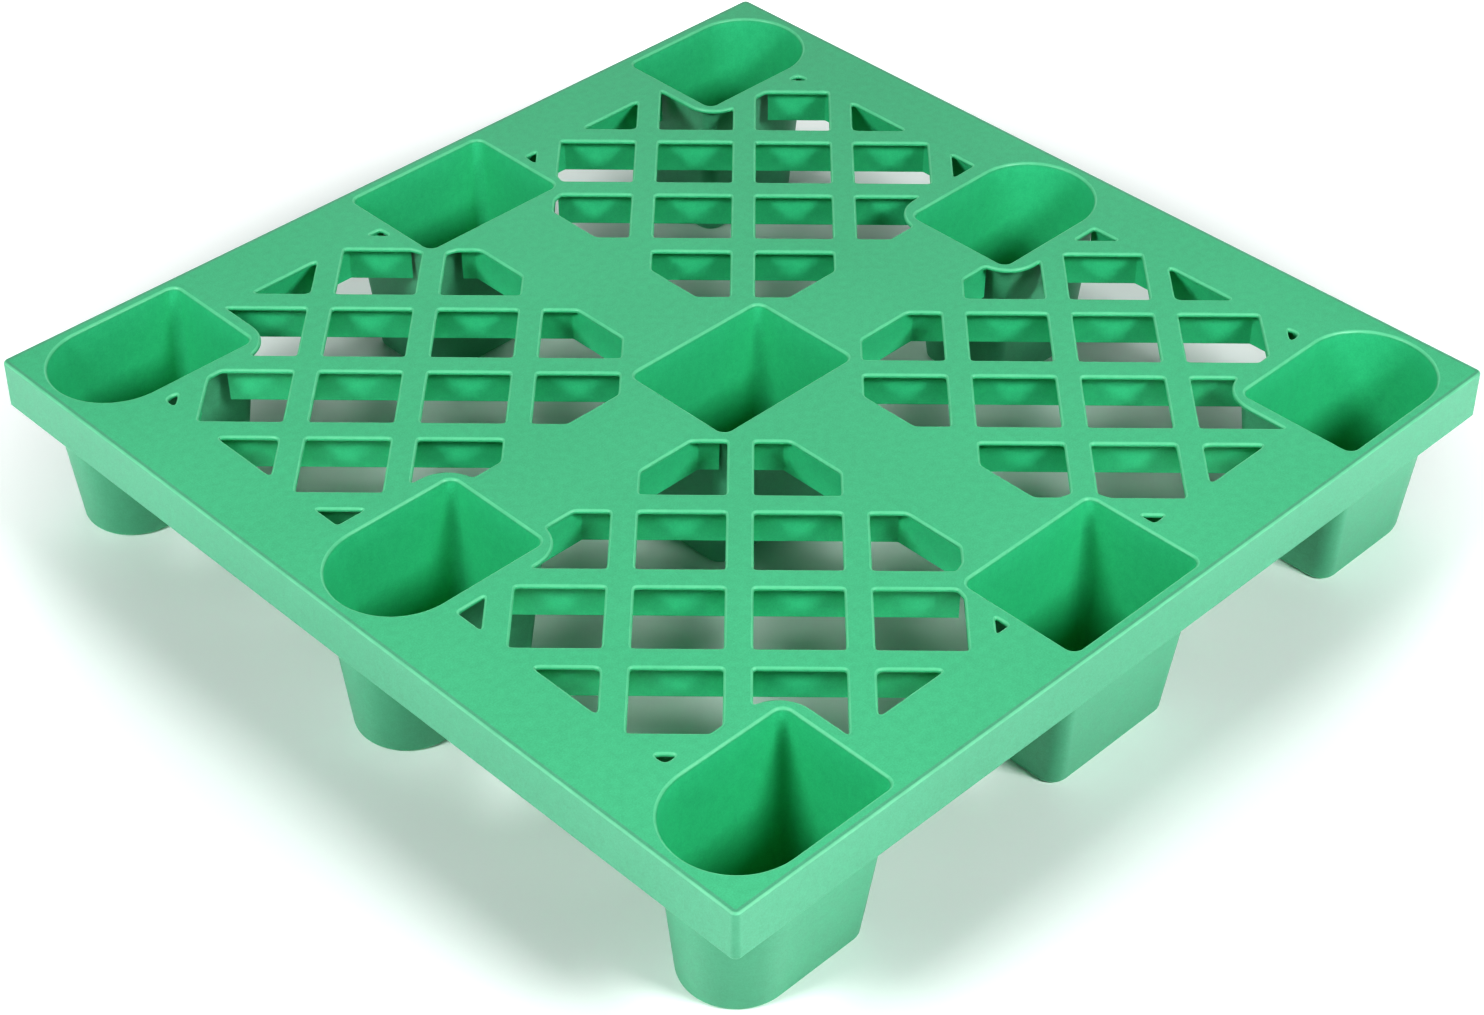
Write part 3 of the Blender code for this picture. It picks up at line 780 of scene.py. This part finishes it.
def make_strip(name, along, across, turned):
    """Solid strip of the deck, ribbed underneath; turned ones run from front to rear."""
    (a0, a1), (c0, c1) = along, across
    mould = Moulding()
    outline = [(a0, c0), (a1, c0), (a1, c1), (a0, c1)]
    if turned:
        outline = [(c, a) for a, c in reversed(outline)]
    upper, lower = mould.ring(outline, TOP), mould.ring(outline, SKIN_LOW)
    mould.wall([lower, upper])
    mould.flat([upper], UP)
    ribs = rib_outline(a0, a1, c0, c1, turned)
    rings = []
    for inset, up in quarter(RIB_R, RIB_STEPS):
        rings.append(mould.ring(grow(ribs, -inset), RIB_LOW + up))
    rings.append(mould.ring(ribs, SKIN_LOW))
    mould.wall(rings)
    mould.flat([rings[0]], DOWN)
    mould.flat([lower, rings[-1]], DOWN)
    finish(mould.body(), name, "green_deck", PLASTIC)


for side, s in SIDES:
    make_strip("cross_" + side, sorted((s * NEAR_X, s * FAR_X)), (-NEAR, NEAR), False)
for end, s in ENDS:
    make_strip("cross_" + end, sorted((s * NEAR_Y, s * FAR_Y)), (-NEAR, NEAR), True)
for end, sy in ENDS:
    for side, sx in SIDES:
        make_strip("border_" + end + "_" + side, sorted((sx * NEAR_X, sx * FAR_X)),
                   sorted((sy * BORDER, sy * INNER)), False)
        make_strip("border_" + side + "_" + end, sorted((sy * NEAR_Y, sy * FAR_Y)),
                   sorted((sx * BORDER, sx * INNER)), True)


def skirt_line(turn, reach, corner, z):
    """One side of the band at one height, from mitre to mitre, turned by quarter turns."""
    e = reach - corner
    line = arc(-e, -e, corner, 225, 270, CORNER_STEPS)
    line += arc(e, -e, corner, 270, 315, CORNER_STEPS)
    c, s = (1, 0, -1, 0)[turn], (0, 1, 0, -1)[turn]
    return [(c * x - s * y, s * x + c * y, z) for x, y in line]


def make_skirt(name, turn):
    """The band's section, swept along one side of the deck."""
    section = [(INNER, TOP)]
    section += [(HALF - along, TOP - down) for along, down in quarter(EDGE_R, BAND_STEPS)]
    for inset, up in reversed(quarter(SKIRT_FOOT_R, EDGE_STEPS)):
        section.append((HALF + FLARE - inset, SKIRT_LOW + up))
    for inset, up in quarter(RIB_R, RIB_STEPS):
        section.append((INNER + FLARE + inset, SKIRT_LOW + up))
    mould = Moulding()
    lines = []
    for reach, z in section:
        corner = max(CORNER_R - (HALF - reach), SMALLEST_CORNER)
        lines.append([mould.bm.verts.new(p) for p in skirt_line(turn, reach, corner, z)])
    for a, b in zip(lines, lines[1:] + lines[:1]):
        for i in range(1, len(a)):
            mould.bm.faces.new((a[i - 1], a[i], b[i], b[i - 1]))
    mould.bm.faces.new([line[0] for line in lines])
    mould.bm.faces.new([line[-1] for line in reversed(lines)])
    finish(mould.body(), name, "green_skirt", OUTSIDE_SHEEN)


for number, side in enumerate(("front", "right", "rear", "left")):
    make_skirt("skirt_" + side, number)


# ---------------------------------------------------------------- floor, light and camera
def make_floor():
    """Pale floor that glows away from the pallet, like the over-lit backdrop it stands for."""
    bm = bmesh.new()
    bmesh.ops.create_grid(bm, x_segments=1, y_segments=1, size=FLOOR_HALF)
    mesh = bpy.data.meshes.new("studio_floor")
    bm.to_mesh(mesh)
    bm.free()
    floor = bpy.data.objects.new("studio_floor", mesh)
    bpy.context.scene.collection.objects.link(floor)
    mat = bpy.data.materials.new("studio_floor")
    n = Nodes(mat)
    n.surface.inputs["Base Color"].default_value = FLOOR_COLOUR
    n.surface.inputs["Roughness"].default_value = FLOOR_ROUGH
    n.surface.inputs["Emission Color"].default_value = WHITE
    place = n.add("ShaderNodeTexCoord", {}).outputs["Object"]
    away = n.add("ShaderNodeVectorMath", {0: place}, operation="LENGTH").outputs["Value"]
    glow = n.math("MULTIPLY", n.band(away, GLOW_START, GLOW_FULL), GLOW)
    glow = n.math("ADD", glow, n.math("MULTIPLY", n.band(away, FAR_START, FAR_FULL), FAR_GLOW))
    n.put(n.surface.inputs["Emission Strength"], glow)
    mesh.materials.append(mat)


def toward(azimuth, elevation):
    """Direction from the pallet, in degrees; azimuth 0 is in front, 90 on the right."""
    a, e = math.radians(azimuth), math.radians(elevation)
    return Vector((math.sin(a) * math.cos(e), -math.cos(a) * math.cos(e), math.sin(e)))


def make_light(name, azimuth, elevation, distance, size, power):
    """Square soft light that looks at the pallet."""
    away = toward(azimuth, elevation)
    data = bpy.data.lights.new(name, "AREA")
    data.shape = "SQUARE"
    data.size = size
    data.energy = power
    light = bpy.data.objects.new(name, data)
    light.location = away * distance
    light.rotation_euler = away.to_track_quat("Z", "Y").to_euler()
    bpy.context.scene.collection.objects.link(light)


def make_camera():
    """The viewing angle: above the front left corner, slightly rolled."""
    back = toward(CAMERA_AZIMUTH, CAMERA_ELEVATION)
    data = bpy.data.cameras.new("camera")
    data.lens = CAMERA_LENS
    data.sensor_width = SENSOR_WIDTH
    camera = bpy.data.objects.new("camera", data)
    camera.location = CAMERA_AIM + back * CAMERA_DISTANCE
    roll = Matrix.Rotation(math.radians(CAMERA_ROLL), 3, "Z")
    camera.rotation_euler = (back.to_track_quat("Z", "Y").to_matrix() @ roll).to_euler()
    bpy.context.scene.collection.objects.link(camera)
    bpy.context.scene.camera = camera


def make_backdrop():
    """White up to a little above the horizon, and dim overhead, so that it adds little light."""
    world = bpy.data.worlds.new("studio")
    world.use_nodes = True
    tree = world.node_tree
    way = tree.nodes.new("ShaderNodeTexCoord")
    split = tree.nodes.new("ShaderNodeSeparateXYZ")
    fade = tree.nodes.new("ShaderNodeMapRange")
    fade.interpolation_type = "SMOOTHSTEP"
    fade.inputs["From Min"].default_value = FADE_START
    fade.inputs["From Max"].default_value = FADE_END
    fade.inputs["To Min"].default_value = BACKDROP
    fade.inputs["To Max"].default_value = OVERHEAD
    tree.nodes["Background"].inputs["Color"].default_value = WHITE
    tree.links.new(way.outputs["Generated"], split.inputs["Vector"])
    tree.links.new(split.outputs["Z"], fade.inputs["Value"])
    tree.links.new(fade.outputs["Result"], tree.nodes["Background"].inputs["Strength"])
    bpy.context.scene.world = world


make_floor()
for light in LIGHTS:
    make_light(*light)
make_camera()
make_backdrop()
bpy.context.scene.view_settings.view_transform = "Standard"
bpy.context.scene.view_settings.look = "High Contrast"
